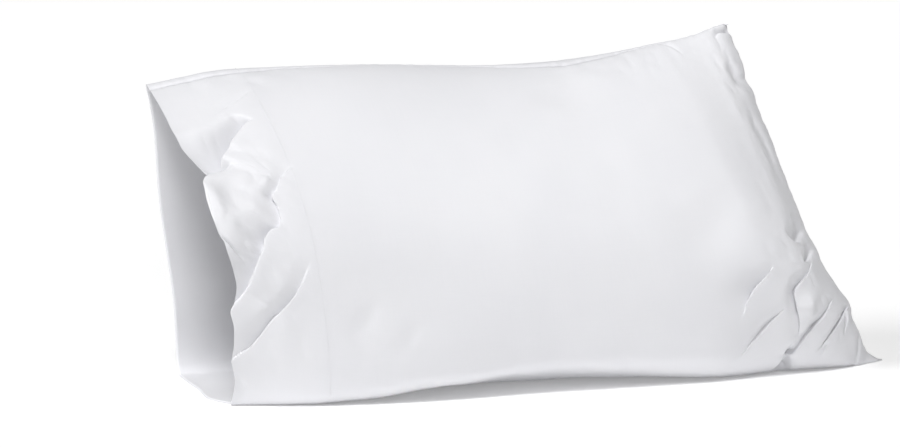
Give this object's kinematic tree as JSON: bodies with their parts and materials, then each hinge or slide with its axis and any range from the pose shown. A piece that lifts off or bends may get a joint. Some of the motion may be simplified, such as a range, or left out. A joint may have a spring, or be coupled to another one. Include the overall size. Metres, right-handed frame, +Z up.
{
  "type": "pillowcase",
  "caption": "White cotton pillowcase holding the plump shape of a pillow, standing on its folded long edge, with a deep hem round the open mouth",
  "frame": {"origin": "on the surface it stands on, under the middle of the case's box", "axes": "+X from the open mouth to the closed end, +Y from the front to the back, +Z up to the sewn top edge"},
  "size_m": [0.851, 0.2822, 0.395],
  "materials": {
    "white_cotton": "matt plain weave"
  },
  "bodies": {
    "root": {"case_cloth": "white_cotton"}
  },
  "joints": []
}
